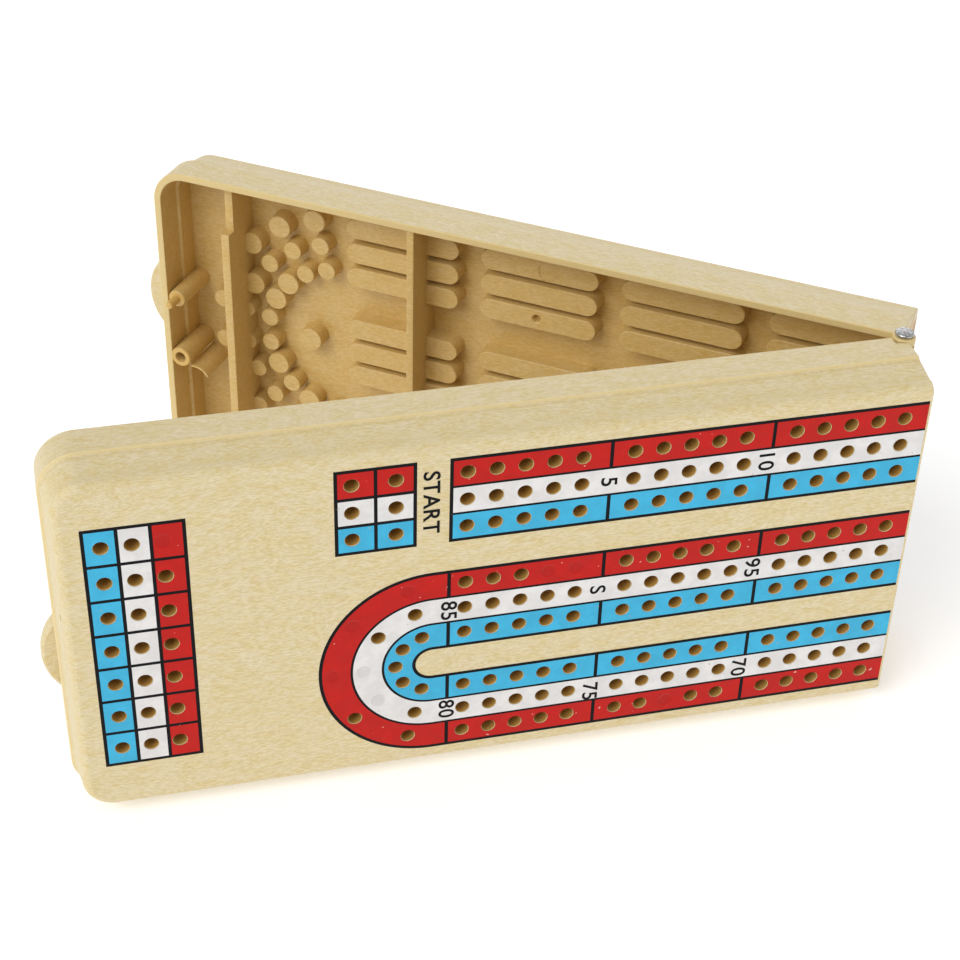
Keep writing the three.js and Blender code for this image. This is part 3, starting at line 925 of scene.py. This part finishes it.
def plastic():
    """Satin tan plastic with a pale streaked wood look, a painted yellow highlight on its ridge,
    painted light through its thin rim, and painted shade in its creases, inside and holes.
    """
    n = Nodes("tan_plastic")
    x, y, z = (n.node("ShaderNodeSeparateXYZ", {0: n.place}, k) for k in range(3))
    depth = n.math("MULTIPLY", y, -1 / MM)

    # How far a point lies inside the outline of its half, round corners included
    side = n.math("ABSOLUTE", z)
    across = n.math("MAXIMUM", n.math("MULTIPLY_ADD", side, 1 / MM, CORNER_RADIUS - HALF_WIDTH), 0)
    along = n.math("MAXIMUM", n.math("MULTIPLY_ADD", x, -1 / MM, CORNER_RADIUS - HALF_LENGTH), 0)
    reach = n.math("SQRT", n.math("MULTIPLY_ADD", across, across, n.math("MULTIPLY", along, along)))
    inset = n.math("SUBTRACT", CORNER_RADIUS, reach)

    drift = n.noise(n.place, DRIFT_SCALE, output="Color")
    centred = n.node("ShaderNodeVectorMath", {0: drift, 1: (0.5, 0.5, 0.5)}, operation="SUBTRACT")
    pushed = n.node("ShaderNodeVectorMath", {0: centred, "Scale": DRIFT}, operation="SCALE")
    flow = n.node("ShaderNodeVectorMath", {0: n.place, 1: pushed}, operation="ADD")

    def streak(stretch, scale, detail, roughness):
        return n.noise(n.stretched(flow, (stretch, 1, 1)), scale, detail, roughness)

    def band(low, high, soft):
        """One between two depths, with soft ends."""
        return n.math("MULTIPLY", n.span(depth, low - soft, low + soft),
                      n.fade(depth, high - soft, high + soft))

    fibre = streak(*FIBRE)
    wisp = streak(*WISP)
    patch = streak(*PATCH)
    streaks = n.math("MULTIPLY_ADD", fibre, FIBRE_WEIGHT, n.math("MULTIPLY", wisp, WISP_WEIGHT))
    pearl = n.span(streaks, *PEARL_SPAN)
    yellow = n.span(patch, *WARM_SPAN)
    pale = n.mix(pearl, *PALE_PLASTIC)
    warm = n.mix(pearl, *WARM_PLASTIC)
    colour = n.mix(n.math("MULTIPLY", yellow, WARM_SHARE), pale, warm)

    # The ridge gets a painted yellow highlight
    ridge = n.math("MULTIPLY", band(*RIDGE_BAND), n.fade(inset, *RIDGE_INSET))
    # Painted shade at the ridge's foot and in the cove above the face's rounding, broken up by the
    # streaks
    ridge_foot = n.math("MULTIPLY", band(*RIDGE_FOOT_BAND), n.fade(inset, *RIDGE_FOOT_INSET))
    edge_span = n.span(inset, *FACE_EDGE_INSET, FACE_EDGE_SHADE, 0)
    face_edge = n.math("MULTIPLY", band(*FACE_EDGE_BAND), edge_span)
    edge_shade = n.math("MULTIPLY", face_edge, n.span(wisp, *EDGE_SHADE_SPAN))
    crease_shade = n.math("MULTIPLY", n.math("MAXIMUM", ridge_foot, edge_shade), CREASE_SHADE_SHARE)
    colour = n.mix(crease_shade, colour, CREASE_SHADE_COLOUR)
    colour = n.mix(n.math("MULTIPLY", ridge, EDGE_LIGHT_SHARE), colour, RIDGE_HIGHLIGHT)
    # The rim gets the painted deeper yellow of light shining through its thin wall
    rim = n.math("MULTIPLY", n.fade(depth, *RIM_FADE), EDGE_LIGHT_SHARE)
    colour = n.mix(rim, colour, RIM_GLOW_COLOUR)

    # Painted shade inside the tray, warmed as by bounced light
    tray_shade = n.math("MULTIPLY", n.span(inset, *TRAY_INSET), n.fade(depth, *TRAY_FADE))
    # Painted shade inside the holes
    hole_shade = n.math("MULTIPLY", n.span(inset, *HOLE_INSET), band(*HOLE_BAND))
    colour = n.darken(colour, tray_shade, INSIDE_SHADE)
    colour = n.darken(colour, hole_shade, HOLE_SHADE)
    n.bump(n.noise(n.place, GRAIN_SCALE), *GRAIN_BUMP)
    roughness = n.span(fibre, *NOISE_RANGE, *PLASTIC_ROUGHNESS)
    return n.finish(Base_Color=colour, Roughness=roughness)


def ink(name, colour, speck_colour, shine=INK_SHINE, filled=()):
    """Printed ink with faint mottling, small chips and dimples where it fills a hole."""
    n = Nodes(name)
    mottle = n.noise(n.place, *MOTTLE)
    darker = tuple(c * MOTTLE_SHADE for c in colour[:3]) + (1,)
    sunken = tuple(c * SUNKEN_SHADE for c in colour[:3]) + (1,)
    shade = n.mix(n.span(mottle, *MOTTLE_SPAN), darker, colour)
    speck = n.span(n.noise(n.place, *SPECKS), *SPECK_SPAN)
    shade = n.mix(speck, shade, speck_colour)
    height = n.math("MULTIPLY", n.noise(n.place, INK_GRAIN_SCALE), INK_GRAIN_HEIGHT)
    for x, z in filled:
        centre = (x * MM, -COLOUR_TOP * MM, z * MM)
        gap = n.node("ShaderNodeVectorMath", {0: n.place, 1: centre}, "Value", operation="DISTANCE")
        dimple = n.fade(gap, *DIMPLE_EDGE)
        shade = n.mix(n.math("MULTIPLY", dimple, DIMPLE_TONE), shade, sunken)
        height = n.math("SUBTRACT", height, n.math("MULTIPLY", dimple, DIMPLE_HEIGHT))
    n.bump(height, *INK_BUMP)
    n.shader.inputs["Specular IOR Level"].default_value = shine
    return n.finish(Base_Color=shade, Roughness=n.span(mottle, *NOISE_RANGE, *INK_ROUGHNESS))


def steel():
    """Plain plated steel, a little dented and stained."""
    n = Nodes("pin_steel")
    stain = n.noise(n.place, *STAINS)
    colour = n.mix(n.span(stain, *STAIN_SPAN), STAINED_STEEL, BRIGHT_STEEL)
    n.bump(n.noise(n.place, *DENTS), *DENT_BUMP)
    roughness = n.span(stain, *NOISE_RANGE, *STEEL_ROUGHNESS)
    return n.finish(Base_Color=colour, Metallic=1.0, Roughness=roughness)


# ---- Putting the pieces in place ----

FRONT_PLACE = Matrix.Translation(HINGE)
REAR_PLACE = (
    Matrix.Translation(HINGE) @ Matrix.Rotation(-OPENING, 4, "Z") @ Matrix.Rotation(math.pi, 4, "X")
)


def settle(piece, place, body, material):
    """Scales a piece to metres, smooths it, and lets it ride on its body."""
    mesh = piece.data
    mesh.transform(Matrix.Scale(MM, 4))
    edit = bmesh.new()
    edit.from_mesh(mesh)
    bmesh.ops.remove_doubles(edit, verts=edit.verts, dist=MERGE_DISTANCE)
    edit.to_mesh(mesh)
    edit.free()
    mesh.shade_smooth()
    mesh.set_sharp_from_angle(angle=math.radians(SMOOTH_ANGLE))
    mesh.materials.clear()
    mesh.materials.append(material)
    own_place = mesh.attributes.new(PLACE, "FLOAT_VECTOR", "POINT")
    for item, vertex in zip(own_place.data, mesh.vertices):
        item.vector = vertex.co
    mesh.transform(place)
    weighted = piece.modifiers.new("normals", "WEIGHTED_NORMAL")
    weighted.keep_sharp = True
    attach(piece, body)


def make_half(body, place, groups, bosses, inks, labels, top_side, materials):
    """One moulding with its print."""
    holes = [hole for group in groups for hole in group] + [hole for hole, radius in bosses]
    cutters = [hole_cutter(hole) for hole in holes if body == "rear" or not is_filled(hole)]
    half = moulding(body + "_moulding", groups, bosses)
    combine(half, "DIFFERENCE", cutters)
    settle(half, place, body, materials["tan"])
    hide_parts(body + "_half")
    for colour, slabs in inks.items():
        piece = solid_object(f"{body}_{colour}_print", slabs)
        combine(piece, "DIFFERENCE", cutters)
        settle(piece, place, body, materials[colour])
    letters = solid_object(body + "_labels", [label(*spec, top_side) for spec in labels])
    settle(letters, place, body, materials["black"])


def make_pin(name, place, body, material, node):
    """A hinge pin with a rounded head, just outside the ear."""
    head = HALF_WIDTH + HINGE_GAP
    top = head + PIN_HEAD_HEIGHT
    tip = HALF_WIDTH - PIN_LENGTH
    shaft = [
        (PIN_END_RADIUS, tip), (0.8, tip + 0.15), (PIN_RADIUS, tip + 0.5),
        (PIN_RADIUS, head - 0.1), (PIN_RADIUS + 0.15, head),
    ]
    dome = [
        (PIN_HEAD_RADIUS - 0.12, head), (PIN_HEAD_RADIUS, head + 0.15),
        (PIN_HEAD_RADIUS, head + 0.4), (PIN_HEAD_RADIUS - 0.12, head + 0.58),
        (PIN_HEAD_RADIUS - 0.5, top - 0.1), (PIN_HEAD_RADIUS - 1.1, top - 0.02),
        (PIN_END_RADIUS, top),
    ]
    pin = solid_object(name, [lathe(shaft + dome)])
    settle(pin, place, body, material)
    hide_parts(node)


# ---- Camera, floor and lights ----

def make_camera():
    data = bpy.data.cameras.new("camera")
    data.lens = CAMERA_LENS
    data.sensor_width = SENSOR_WIDTH
    data.clip_start = NEAR_CLIP
    camera = add_object("camera", data)
    camera.matrix_world = (
        Matrix.Translation(CAMERA_PLACE)
        @ Matrix.Rotation(-math.radians(CAMERA_AZIMUTH), 4, "Z")
        @ Matrix.Rotation(math.radians(90 - CAMERA_DIP), 4, "X")
        @ Matrix.Rotation(math.radians(CAMERA_ROLL), 4, "Z")
    )
    bpy.context.scene.camera = camera


def make_floor():
    mesh = bpy.data.meshes.new("floor")
    square = rectangle(-FLOOR_REACH, FLOOR_REACH, -FLOOR_REACH, FLOOR_REACH)
    mesh.from_pydata([(x, y, 0) for x, y in square], [], [(0, 1, 2, 3)])
    floor = add_object("floor", mesh)
    n = Nodes("floor")
    n.shader.inputs["Emission Color"].default_value = WHITE
    n.shader.inputs["Emission Strength"].default_value = FLOOR_GLOW
    mesh.materials.append(n.finish(Base_Color=FLOOR_COLOUR, Roughness=FLOOR_ROUGHNESS))


def add_light(name, kind, energy, place, **settings):
    """A light that shines from its place to the origin."""
    data = bpy.data.lights.new(name, kind)
    data.energy = energy
    for key, value in settings.items():
        setattr(data, key, value)
    light = add_object(name, data)
    light.location = place
    light.rotation_euler = (-Vector(place)).to_track_quat("-Z", "Y").to_euler()


def make_lights():
    """A white studio: an even sky, a broad key from the upper left and a softbox behind."""
    world = bpy.data.worlds.new("studio")
    world.use_nodes = True
    background = world.node_tree.nodes["Background"]
    background.inputs["Color"].default_value = WHITE
    background.inputs["Strength"].default_value = SKY
    bpy.context.scene.world = world
    bpy.context.scene.view_settings.view_transform = "Standard"
    add_light("key", "SUN", KEY, KEY_PLACE, angle=math.radians(KEY_SPREAD))
    add_light("back", "AREA", BACK, BACK_PLACE, size=BACK_SIZE)


make_camera()
make_floor()
make_lights()

MATERIALS = {
    "tan": plastic(),
    "steel": steel(),
    "black": ink("black_ink", *BLACK_INK, BLACK_SHINE),
    "red": ink("red_ink", *RED_INK, filled=FILLED_HOLES),
    "white": ink("white_ink", *WHITE_INK, filled=FILLED_HOLES),
    "blue": ink("blue_ink", *BLUE_INK),
}

make_half("front", FRONT_PLACE, all_groups(FRONT_GROUPS, FRONT_LAST_HOLE), FRONT_BOSSES,
          front_print(), FRONT_LABELS, 1, MATERIALS)
make_half("rear", REAR_PLACE, all_groups(REAR_GROUPS, REAR_LAST_HOLE), REAR_BOSSES,
          rear_print(), REAR_LABELS, -1, MATERIALS)
make_pin("upper_pin", FRONT_PLACE, "front", MATERIALS["steel"], "upper_hinge_pin")
make_pin("lower_pin", REAR_PLACE, "rear", MATERIALS["steel"], "lower_hinge_pin")
